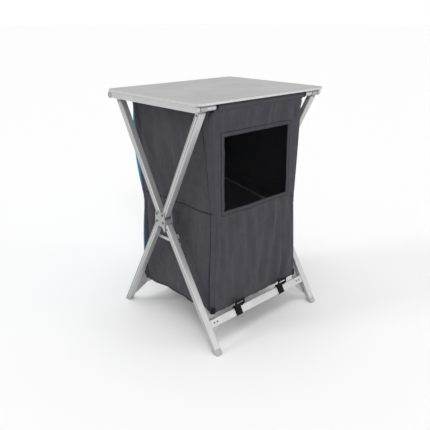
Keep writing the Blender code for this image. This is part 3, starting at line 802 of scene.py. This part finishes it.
def fold_corner(obj, word):
    """Half a side panel: finds a line across its upper outer corner but moves nothing; only bakes its
    placement into the mesh.
    """
    end = 1 if word == "back" else -1
    per_y = 1 / CORNER_Y
    per_z = 1 / (FOLD_END_Z - FOLD_START_Z)
    squared = per_y ** 2 + per_z ** 2
    start = Vector((0.0, CORNER_Y / 2, (FOLD_START_Z + FOLD_END_Z) / 2))
    stop = start + Vector((0.0, per_y, per_z)) / squared
    start.y *= end
    stop.y *= end
    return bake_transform(obj)


# ---- back panel and window
def raised_hem(point, x, z, end, opening):
    """Doubled cloth round an opening stands a little proud of the panel."""
    x0, x1, z0, z1 = opening
    outside = max(x0 - x, x - x1, z0 - z, z - z1)
    if outside < HEM_WIDTH:
        point.y += end * SEAM_PROUD * ramp_off(outside, HEM_WIDTH - 0.003, HEM_WIDTH)
    if z < PANEL_FOOT + HEM_WIDTH:
        point.y += end * SEAM_PROUD
    return point


def end_panel(name, end, material, opening, seed):
    """Front or back panel, standing out by panel_point's `fullness`; also gives its surface."""
    def place(x, z):
        return raised_hem(panel_point(end, x, z, seed), x, z, end, opening)

    x0, x1, z0, z1 = opening
    top = RAIL_Z - 0.0085
    us = stations([-CORNER_X, x0 - HEM_WIDTH, x0, x1, x1 + HEM_WIDTH, CORNER_X], GRID_STEP)
    vs = stations([PANEL_FOOT, PANEL_FOOT + HEM_WIDTH, z0 - HEM_WIDTH, z0, z1, z1 + HEM_WIDTH, top],
                  GRID_STEP)
    panel = cloth_grid(name, us, vs, place, material, hole=opening)
    return panel, place


def sew_round(bm, place, outward, opening, gap, radius=STITCH_RADIUS):
    """A row of stitches round an opening, `gap` outside it."""
    x0, x1, z0, z1 = opening
    sew(bm, place, rectangle(x0 - gap, x1 + gap, z0 - gap, z1 + gap), outward, radius)


def sew_hem(bm, place, outward):
    """The two rows of stitches along a panel's bottom edge."""
    half_row = 0.205
    for z in (PANEL_FOOT + EDGE_ROW, PANEL_FOOT + HEM_ROW):
        sew(bm, place, [(x, z) for x in stations([-half_row, half_row], ROW_STEP)], outward)


def rectangle(x0, x1, z0, z1, step=0.012):
    """Closed run of (x, z) points round a rectangle."""
    points = [(x, z0) for x in stations([x0, x1], step)]
    points += [(x1, z) for z in stations([z0, z1], step)][1:]
    points += [(x, z1) for x in reversed(stations([x0, x1], step))][1:]
    points += [(x0, z) for z in reversed(stations([z0, z1], step))][1:]
    return points


def back_panel():
    opening = (*WINDOW_X, *WINDOW_Z)
    panel, place = end_panel("back_cloth_panel", 1, charcoal_cloth, opening, 0.0)
    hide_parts("cabinet_back_panel")
    fold_with_frame(panel, "back")

    bm = bmesh.new()
    for gap in (HEM_ROW, EDGE_ROW):
        sew_round(bm, place, Y_AXIS, opening, gap, 0.0007)
    sew_hem(bm, place, Y_AXIS)
    heights = stations([PANEL_FOOT + 0.02, PANEL_TOP], ROW_STEP)
    for x in (-CORNER_X + 0.009, CORNER_X - 0.009):
        sew(bm, place, [(x, z) for z in heights], Y_AXIS)
    sewn_on("back_panel_stitching", bm, thread, fold_with_frame, "back")

    # Dark cord round the hem's outer edge: painted shade along the hem's raised edge, not a sewn part.
    loop = rectangle(WINDOW_X[0] - HEM_WIDTH, WINDOW_X[1] + HEM_WIDTH, WINDOW_Z[0] - HEM_WIDTH,
                     WINDOW_Z[1] + HEM_WIDTH, 0.006)
    path = [place(x, z) + Y_AXIS * CLOTH / 2 for x, z in loop[:-1]]
    bm = swept(path, circle(0.0008, 6), Y_AXIS, True)
    rigid("window_hem_painted_shade", bm, dark_binding_and_shade, ROOT)


def window_net():
    """Netting behind the opening, slack enough to ripple."""
    def place(x, z):
        slack = arch(x, MESH_LOW.x, MESH_HIGH.x) * arch(z, MESH_LOW.z, MESH_HIGH.z)
        point = panel_point(1, x, z, 0.0)
        point.y -= 0.0016 + slack * (0.003 + ripple(x, z, 61.0, *NET_SLACK))
        return point

    step = 0.0060
    us = stations([MESH_LOW.x, MESH_HIGH.x], step)
    vs = stations([MESH_LOW.z, MESH_HIGH.z], step)
    net = cloth_grid("window_netting", us, vs, place, black_net, 0.0004)
    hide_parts("window_mesh")
    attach(net, ROOT)


# ---- front: surround, door, zips
def front_panel():
    opening = (-DOOR_X, DOOR_X, *DOOR_Z)
    panel, place = end_panel("front_cloth_surround", -1, teal_cloth, opening, 50.0)
    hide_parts("front_surround")
    fold_with_frame(panel, "front")

    bm = bmesh.new()
    sew_round(bm, place, FORWARD, opening, HEM_WIDTH - 0.001)
    sew_hem(bm, place, FORWARD)
    sewn_on("front_panel_stitching", bm, teal_thread, fold_with_frame, "front")


def roll_up(obj):
    """Gives a door piece its own copy of its mesh; nothing bunches as the sliders rise."""
    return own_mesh(obj)


def flap_point(x, z):
    """Middle of the door flap's cloth, with soft creases between its zips."""
    calm = ramp_off(abs(x), DOOR_X - 0.020, DOOR_X) * ramp_off(z, FLAP_HIGH.z - 0.015, FLAP_HIGH.z)
    depth = abs(ripple(x, z, 77.0, *FLAP_FOLDS)) + crease(x, z, 79.0, *FLAP_RIDGES)
    reach = 0.05
    ends = smooth_step(z, FLAP_LOW.z, FLAP_LOW.z + reach)
    ends *= ramp_off(z, FLAP_HIGH.z - reach, FLAP_HIGH.z)
    bulge = 0.5 * front_bulge(z) * ends * ramp_off(abs(x), *FLAP_ROUND)
    return Vector((x, -CORNER_Y - FLAP_CLEAR - depth * calm - bulge, z))


def door():
    us = stations([FLAP_LOW.x, -DOOR_X + 0.006, DOOR_X - 0.006, FLAP_HIGH.x], 0.0060)
    vs = stations([FLAP_LOW.z, FLAP_LOW.z + HEM_WIDTH, FLAP_HIGH.z], 0.0070)
    flap = cloth_grid("door_cloth_flap", us, vs, flap_point, teal_cloth)
    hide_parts("door_flap")
    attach(flap, ROOT)
    roll_up(flap)

    half_row = 0.150
    bm = bmesh.new()
    for z in (FLAP_LOW.z + 0.003, FLAP_LOW.z + HEM_ROW, FLAP_HIGH.z - 0.004):
        sew(bm, flap_point, [(x, z) for x in stations([-half_row, half_row], ROW_STEP)], FORWARD)
    heights = stations([FLAP_LOW.z + 0.004, FLAP_HIGH.z - 0.006], ROW_STEP)
    for side in (-1, 1):
        x = side * (DOOR_X - 0.012)
        sew(bm, flap_point, [(x, z) for z in heights], FORWARD)
    roll_up(rigid("door_stitching", bm, teal_thread, ROOT))


ZIP_TAPE = (0.0006, 0.0110)
ZIP_TAPE_GAP = 0.00115
ZIP_TEETH_GAP = 0.00140
TOOTH_PITCH = 0.0024
TOOTH_STAGGER = 0.0007
TOOTH_PROFILE = ((0.0, 0.0006), (0.0005, 0.0009), (0.0023, 0.0009), (0.0028, 0.0006))


def zips():
    """Tape and moulded teeth down each side of the door, outside the flap's edge."""
    for hand, side in SIDES:
        x = side * (DOOR_X + DOOR_LAP - 0.006)
        low = FLAP_LOW.z + 0.002
        high = FLAP_HIGH.z - 0.003
        lift = on_cloth(FORWARD, ZIP_TAPE_GAP)
        path = [flap_point(x, z) + lift for z in stations([low, high], 0.010)]
        bm = swept(path, rounded_rect(*ZIP_TAPE, 0.0002, 2), X_AXIS)
        roll_up(rigid(f"door_zip_tape_{hand}", bm, zip_tape, ROOT))

        lift = on_cloth(FORWARD, ZIP_TEETH_GAP)
        half_tooth = TOOTH_PROFILE[-1][0] / 2
        bm = bmesh.new()
        for k, z in enumerate(stations([low + 0.004, high - 0.004], TOOTH_PITCH)):
            lean = TOOTH_STAGGER if k % 2 else -TOOTH_STAGGER
            start = flap_point(x, z) + lift + X_AXIS * (lean - half_tooth)
            turned(bm, start, X_AXIS, TOOTH_PROFILE, 6)
        roll_up(rigid(f"door_zip_teeth_{hand}", bm, black_plastic, ROOT))


# ---- side panels
def side_panels():
    """Each side in two halves, front and back, that meet under the hub."""
    for hand, side, word, end in CORNERS:
        def place(y, t):
            return side_point(side, end * y, t)

        us = stations([0.0, CORNER_Y], GRID_STEP)
        vs = stations([0.0, 1.0], GRID_STEP / (PANEL_TOP - PANEL_FOOT))
        half = cloth_grid(f"side_cloth_{hand}_{word}_half", us, vs, place, charcoal_cloth)
        if word == "back":
            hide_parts(f"cabinet_side_panel_{hand}")
        fold_corner(half, word)
        side_sewing(hand, word, X_AXIS * side, place)


def side_sewing(hand, word, outward, place):
    """Stitches along one half's edges and seam, and a dark strip of painted shade along the seam."""
    span = stations([0.002, CORNER_Y - 0.010], ROW_STEP)
    bm = bmesh.new()
    for t in (0.004, 0.018, 0.985):
        sew(bm, place, [(y, t) for y in span], outward)
    for z in (SIDE_SEAM_Z - 0.003, SIDE_SEAM_Z + 0.003):
        sew(bm, place, [(y, side_share(y, z)) for y in span], outward)
    sewn_on(f"side_stitching_{hand}_{word}", bm, thread, fold_corner, word)

    # Dark strip on the seam: painted shade of the seam's fold.
    span = stations([0.0, CORNER_Y - 0.006], 0.006)
    path = [place(y, side_share(y, SIDE_SEAM_Z)) + on_cloth(outward) for y in span]
    bm = swept(path, rounded_rect(0.0012, 0.0044, 0.0005, 2), Z_AXIS)
    sewn_on(f"side_seam_shade_{hand}_{word}", bm, dark_binding_and_shade, fold_corner, word)


def corner_seams():
    """Rolled seam up each corner, and beside it black rolls of painted shade along the crease of the
    side seam.
    """
    crease_radius = 0.0013
    tuck_radius = 0.0022
    for hand, side, word, end in CORNERS:
        corner_seam(hand, side, word, end)
        path = []
        for t in stations([0.0, 1.0], 0.016):
            z = PANEL_FOOT + t * (PANEL_TOP - PANEL_FOOT)
            y = end * (CORNER_Y - side_crease(z))
            path.append(side_point(side, y, t) + X_AXIS * side * 0.0004)
        # Black roll laid along the crease: painted shade of the crease.
        bm = swept(path, circle(crease_radius, 8), Y_AXIS)
        name = f"side_crease_{word}_{hand}"
        sewn_on(name, bm, black_binding_and_shade, fold_corner, word)

        # Thicker black roll low in the crease: painted shade of the tuck there.
        low = [point + X_AXIS * side * 0.0003 for point in path if point.z < TUCK_TOP_Z]
        bm = swept(low, circle(tuck_radius, 8), Y_AXIS)
        rigid(f"side_tuck_shade_{word}_{hand}", bm, black_binding_and_shade, ROOT)


def corner_seam(hand, side, word, end):
    settle = CORNER_ROUND * (1 - math.sin(math.pi / 4))
    y = end * (CORNER_Y - settle - 0.0012)
    heights = stations([PANEL_FOOT - 0.001, PANEL_TOP + 0.008], 0.010)
    path = [Vector((side * (panel_edge(z) - settle - 0.0008), y, z)) for z in heights]
    if word == "front":
        radius, cloth, slot = 0.0022, teal_cloth, "teal_fabric"
    else:
        radius, cloth, slot = 0.0016, charcoal_cloth, "charcoal_fabric"
    bm = swept(path, circle(radius, 10), Y_AXIS)
    sewn_on(f"corner_seam_{word}_{hand}", bm, cloth, fold_with_frame, word)


def corner_patches():
    """Black tape wrapped round each bottom corner where the hem is reinforced."""
    height = 0.020
    wrap = 0.013
    thick = 0.0030
    cut = 0.0020
    x = CORNER_X - 0.0004
    y = CORNER_Y + 0.0004
    outer = [(x, y - wrap), (x, y - cut), (x - cut, y), (x - wrap, y)]
    inner = [(x - wrap, y - thick), (x - 2 * cut, y - thick), (x - thick, y - 2 * cut),
             (x - thick, y - wrap)]
    for hand, side, word, end in CORNERS:
        rings = []
        for rise, swell in ((-0.003, 0.0), (-0.002, 0.0006), (height, 0.0)):
            ring = [(a + swell, b + swell) for a, b in outer] + inner
            rings.append([Vector((side * a, end * b, PANEL_FOOT + rise)) for a, b in ring])
        bm = bmesh.new()
        bridge(bm, rings)
        rigid(f"corner_patch_{word}_{hand}", bm, black_binding_and_shade, ROOT)


def hem_bindings():
    """Dark tape folded over the bottom and top edges of the sides."""
    ys = stations([0.0, CORNER_Y - 0.002], 0.010)
    section = rounded_rect(0.0022, 0.0070, 0.0010, 3)
    for hand, side, word, end in CORNERS:
        for level, t in (("hem", 0.0), ("top", 1.0)):
            bm = swept([side_point(side, end * y, t) for y in ys], section, Z_AXIS)
            name = f"side_{level}_binding_{hand}_{word}"
            sewn_on(name, bm, dark_binding_and_shade, fold_corner, word)


# ---- rail sleeves
SLEEVE_FLANGE = 0.008
SLEEVE_BINDING = ((-0.004, 0.0095), (-0.0035, 0.0103), (0.0035, 0.0103), (0.004, 0.0095),
                  (0.004, 0.0084), (-0.004, 0.0084))


def rail_centre(x, end):
    return Vector((x, end * RAIL_Y, RAIL_Z))


def sleeve_point(x, t, end):
    """Point on a sleeve: t runs from flange to flange, once round the rail."""
    toward = Vector((0.0, -0.412 * end, -0.911))
    side = Vector((0.0, 0.911 * end, -0.412))
    radius = SLEEVE_RADIUS - CLOTH / 2
    lap = SLEEVE_FLANGE / (2 * math.pi * radius + 2 * SLEEVE_FLANGE)
    if min(t, 1 - t) < lap:
        reach = radius + SLEEVE_FLANGE * (1 - min(t, 1 - t) / lap)
        return rail_centre(x, end) + toward * reach + side * math.copysign(CLOTH, 0.5 - t)
    angle = 2 * math.pi * (t - lap) / (1 - 2 * lap)
    reach = radius + abs(ripple(x, t, 90.0 + end, *SLEEVE_PUCKER))
    return rail_centre(x, end) + toward * reach * math.cos(angle) + side * reach * math.sin(angle)


def rail_sleeves():
    """Cloth tunnel round each top rail: one strip, seamed under the rail."""
    us = stations([-SLEEVE_HALF, SLEEVE_HALF], 0.0060)
    vs = stations([0.0, 1.0], 1 / 36)
    for word, end in ENDS:
        def place(x, t):
            return sleeve_point(x, t, end)

        sleeve = cloth_grid(f"{word}_sleeve_cloth", us, vs, place, charcoal_cloth)
        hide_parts(f"{word}_rail_sleeve")
        body = f"{word}_upper_frame"
        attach(sleeve, body)

        for hand, side in SIDES:
            centre = rail_centre(side * (SLEEVE_HALF - 0.003), end)
            rings = [[centre + Vector((along, q, p)) for p, q in circle(radius, 28)]
                     for along, radius in SLEEVE_BINDING]
            bm = bmesh.new()
            bridge(bm, rings, closed=True)
            rigid(f"{word}_sleeve_binding_{hand}", bm, black_binding_and_shade, body)


# ---- straps at the hem
BOTTOM_RAIL = (0.0280, 0.0120)
STRAP_GAP = 0.0010
STRAP = (0.0014, 0.030)
KEEPER = (0.046, 0.026)
KEEPER_SLOT = (0.032, 0.007)
KEEPER_THICK = 0.0030
KEEPER_EDGE = 0.0006
KEEPER_BAR = ((0.0, 0.0010), (0.001, 0.0014), (0.029, 0.0014), (0.030, 0.0010))


def hem_straps():
    """Webbing loops round the back bottom rail, each with its moulded keeper and its tail."""
    body = "back_lower_frame"
    slant = Slant(1, False)
    rail_low, rail_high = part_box("back_bottom_rail")
    s_mid = slant.height((rail_low.z + rail_high.z) / 2)
    loop = rounded_rect(*(side + STRAP_GAP + STRAP[0] for side in BOTTOM_RAIL), 0.0036, 5)
    for hand, _ in SIDES:
        low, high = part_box(f"hem_strap_{hand}")
        x = (low.x + high.x) / 2
        y = high.y - KEEPER_THICK
        path = [slant.at(x, s_mid + s, n) for s, n in loop]
        bm = swept(path, rounded_rect(*STRAP, 0.0006, 2), X_AXIS, True)
        strap = rigid(f"strap_loop_{hand}", bm, webbing, body)
        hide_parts(f"hem_strap_{hand}")

        keeper_foot = high.z - KEEPER[1]
        bm = strap_keeper(Vector((x, y, (keeper_foot + high.z) / 2)))
        rigid(f"strap_keeper_{hand}", bm, black_plastic, body)

        start = slant.at(x, s_mid - 0.0155, 0.0)
        path = [start, start + Vector((0.0, -0.003, 0.004)),
                Vector((x, y + 0.0030, keeper_foot - 0.001)),
                Vector((x, y + 0.0036, keeper_foot + 0.004))]
        bm = swept(path, rounded_rect(0.028, 0.0012, 0.0005, 2), Y_AXIS)
        rigid(f"strap_tail_{hand}", bm, webbing, body)


def strap_keeper(centre):
    """Moulded plate with eased edges and a slot, and the bar that the webbing turns round."""
    depths = (0.0, KEEPER_EDGE, KEEPER_THICK - KEEPER_EDGE, KEEPER_THICK)
    rings = []
    for depth, grow in zip(depths, (0.96, 1.0, 1.0, 0.96)):
        rings.append([centre + Vector((p * grow, depth, q * grow))
                      for p, q in rounded_rect(*KEEPER, 0.005)])
    for depth in reversed(depths):
        rings.append([centre + Vector((p, depth, q)) for p, q in rounded_rect(*KEEPER_SLOT, 0.0022)])
    bm = bmesh.new()
    bridge(bm, rings, closed=True)
    turned(bm, centre + Vector((-0.015, KEEPER_THICK, 0.0075)), X_AXIS, KEEPER_BAR, 8)
    return bm


# ---- metal fittings
TUBE_RIVET = 0.0026
RAIL_RIVET = 0.0034


def rivet_set(name, body, heads):
    bm = bmesh.new()
    for centre, axis, radius in heads:
        dome(bm, centre, axis, radius, radius * 0.45)
    rigid(name, bm, steel, body)


def frame_rivets():
    """Rail rivets, the rivets that hold each casting in its tube, and both faces of each."""
    for word, end in ENDS:
        upper = Slant(end, True)
        lower = Slant(end, False)
        rail_low, rail_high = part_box(f"{word}_bottom_rail")
        s_mid = lower.height((rail_low.z + rail_high.z) / 2)
        s_head = upper.height(RAIL_Z) - 0.022
        upper_heads = []
        lower_heads = []
        for _, side in SIDES:
            for face, outward in ((LEG_X[1], side), (LEG_X[0], -side)):
                axis = X_AXIS * outward
                upper_heads.append((upper.at(side * face, s_head, 0.0), axis, TUBE_RIVET))
                lower_heads.append((lower.at(side * face, 0.026, 0.0), axis, TUBE_RIVET))
            for reach in (0.016, 0.030):
                for n, outward in ((0.006, 1), (-0.0088, -1)):
                    spot = lower.at(side * (LEG_X[0] - reach), s_mid, n)
                    lower_heads.append((spot, lower.out * outward, RAIL_RIVET))
        rivet_set(f"{word}_upper_frame_rivets", f"{word}_upper_frame", upper_heads)
        rivet_set(f"{word}_lower_frame_rivets", f"{word}_lower_frame", lower_heads)


CAP_CENTRE = 0.0002
CAP_PROFILE = ((-0.0005, CAP_CENTRE), (-0.0005, 0.0102), (0.0008, 0.0102), (0.0014, 0.0096),
               (0.0014, 0.0080), (0.0006, 0.0074), (0.0006, 0.0040), (0.0012, 0.0034),
               (0.0012, CAP_CENTRE))


def bar_caps():
    """Ringed cap on the outer face of each side bar's round front end."""
    radius = 0.011
    for hand, side in SIDES:
        low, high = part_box(f"tabletop_side_bar_{hand}")
        face = side * max(abs(low.x), abs(high.x))
        bm = bmesh.new()
        centre = Vector((face, low.y + radius, high.z - radius))
        turned(bm, centre, X_AXIS * side, CAP_PROFILE, 40)
        rigid(f"side_bar_cap_{hand}", bm, casting, "tabletop", 30.0)


def leg_tabs():
    """Small eyelet tabs on the legs' inner faces, where the cupboard's tapes tie on."""
    thick = 0.0012
    out = 0.0105
    shape = rounded_rect(0.012, 0.016, 0.0045)
    hole = circle(0.0022, 20)
    for word, end, level, z in (("front", -1, "upper", 0.52), ("back", 1, "lower", 0.355)):
        slant = Slant(end, level == "upper")
        s = slant.height(z)
        bm = bmesh.new()
        for _, side in SIDES:
            rings = []
            for outline, depth in ((shape, 0.0), (shape, thick), (hole, thick), (hole, 0.0)):
                x = side * (LEG_X[0] - 0.0002 - depth)
                rings.append([slant.at(x, s + q, out + p) for p, q in outline])
            bridge(bm, rings, closed=True)
        rigid(f"{word}_leg_tabs", bm, casting, f"{word}_{level}_frame")


def shelf_edges():
    """A pale loose rod lies across the middle shelf; piping binds the floor's edge."""
    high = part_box("mid_shelf")[1]
    radius = 0.0040
    start = Vector((-0.196, -0.170, high.z + radius + 0.0002))
    stop = Vector((-0.101, 0.180, high.z + radius + 0.0002))
    length = (stop - start).length
    profile = ((0.0, radius * 0.7), (radius * 0.3, radius), (length - radius * 0.3, radius),
               (length, radius * 0.7))
    bm = bmesh.new()
    turned(bm, start, stop - start, profile, 16)
    rigid("shelf_rod", bm, bright_rod, ROOT)

    low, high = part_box("floor_shelf")
    z = (low.z + high.z) / 2
    path = [Vector((x, y, z)) for x, y in rounded_rect(high.x - low.x, high.y - low.y, 0.006)]
    bm = swept(path, circle(0.0016, 10), Z_AXIS, True)
    rigid("floor_shelf_piping", bm, dark_binding_and_shade, ROOT)


# ---- studio
CAMERA_PLACE = (1.2061, 1.3294, 1.0362)
CAMERA_TURN = (math.radians(90 - 22.515), 0.0, math.radians(135.813))
LENS = 43.07
SHIFT = (-0.0475, 0.0386)
FLOOR_REACH = 80.0
SKY_HORIZON = 0.40
SKY_ZENITH = 0.60
COVE_RISE = (0.15, 0.42)
COVE_TONES = (1.00, 0.44)

# Each distant light: name, direction it comes from, strength, width in degrees.
SUNS = (("overhead_panel", (0.10, 0.05, 1.0), 0.92, 50.0),
        ("right_panel", (0.75, -0.40, 0.60), 0.40, 14.0),
        ("window_panel", (0.45, 0.72, 0.50), 0.52, 10.0),
        ("back_panel_light", (-0.45, 0.80, 0.16), 0.40, 12.0))


def floor():
    bm = bmesh.new()
    edge = rounded_rect(2 * FLOOR_REACH, 2 * FLOOR_REACH, FLOOR_REACH / 4, 8)
    bm.faces.new([bm.verts.new((x, y, -0.0002)) for x, y in edge])
    paper = Finish("pale_studio_floor", (0.96, 0.96, 0.96), 0.75)
    paper.roughness(paper.ranged(paper.noise(3.0), 0.72, 0.80))
    from_bmesh("studio_floor", bm, paper.material)


def soft_sun(name, toward, strength, spread):
    """Distant light from the direction `toward`, as wide as a large studio panel."""
    data = bpy.data.lights.new(name, "SUN")
    data.energy = strength
    data.angle = math.radians(spread)
    obj = add_object(name, data)
    obj.location = Vector(toward) * 3.0
    obj.rotation_euler = Vector(toward).to_track_quat("Z", "Y").to_euler()


def studio():
    """White room: the sky brightens upwards and, like a cove, towards the floor."""
    world = bpy.data.worlds.new("soft_white")
    world.use_nodes = True
    sky = world.node_tree.nodes["Background"]
    sky.inputs["Color"].default_value = (1.0, 1.0, 1.0, 1.0)
    wires = Wiring(world.node_tree, "Generated")
    up = wires.axis("Z")
    height = wires.ranged(up, SKY_HORIZON, SKY_ZENITH, 0.0, 1.0)
    cove = wires.ranged(up, *COVE_TONES, *COVE_RISE)
    wires.link(wires.maths("MAXIMUM", height, cove), sky.inputs["Strength"])
    for sun in SUNS:
        soft_sun(*sun)

    data = bpy.data.cameras.new("catalogue_camera")
    data.lens = LENS
    data.shift_x, data.shift_y = SHIFT
    data.clip_end = 2 * FLOOR_REACH
    camera = add_object("catalogue_camera", data)
    camera.location = CAMERA_PLACE
    camera.rotation_euler = CAMERA_TURN
    scene = bpy.context.scene
    scene.world = world
    scene.camera = camera
    scene.view_settings.view_transform = "Standard"
    scene.view_settings.look = "None"


paint_frame()
back_panel()
window_net()
front_panel()
door()
zips()
side_panels()
corner_seams()
corner_patches()
hem_bindings()
rail_sleeves()
hem_straps()
frame_rivets()
bar_caps()
leg_tabs()
shelf_edges()
floor()
studio()
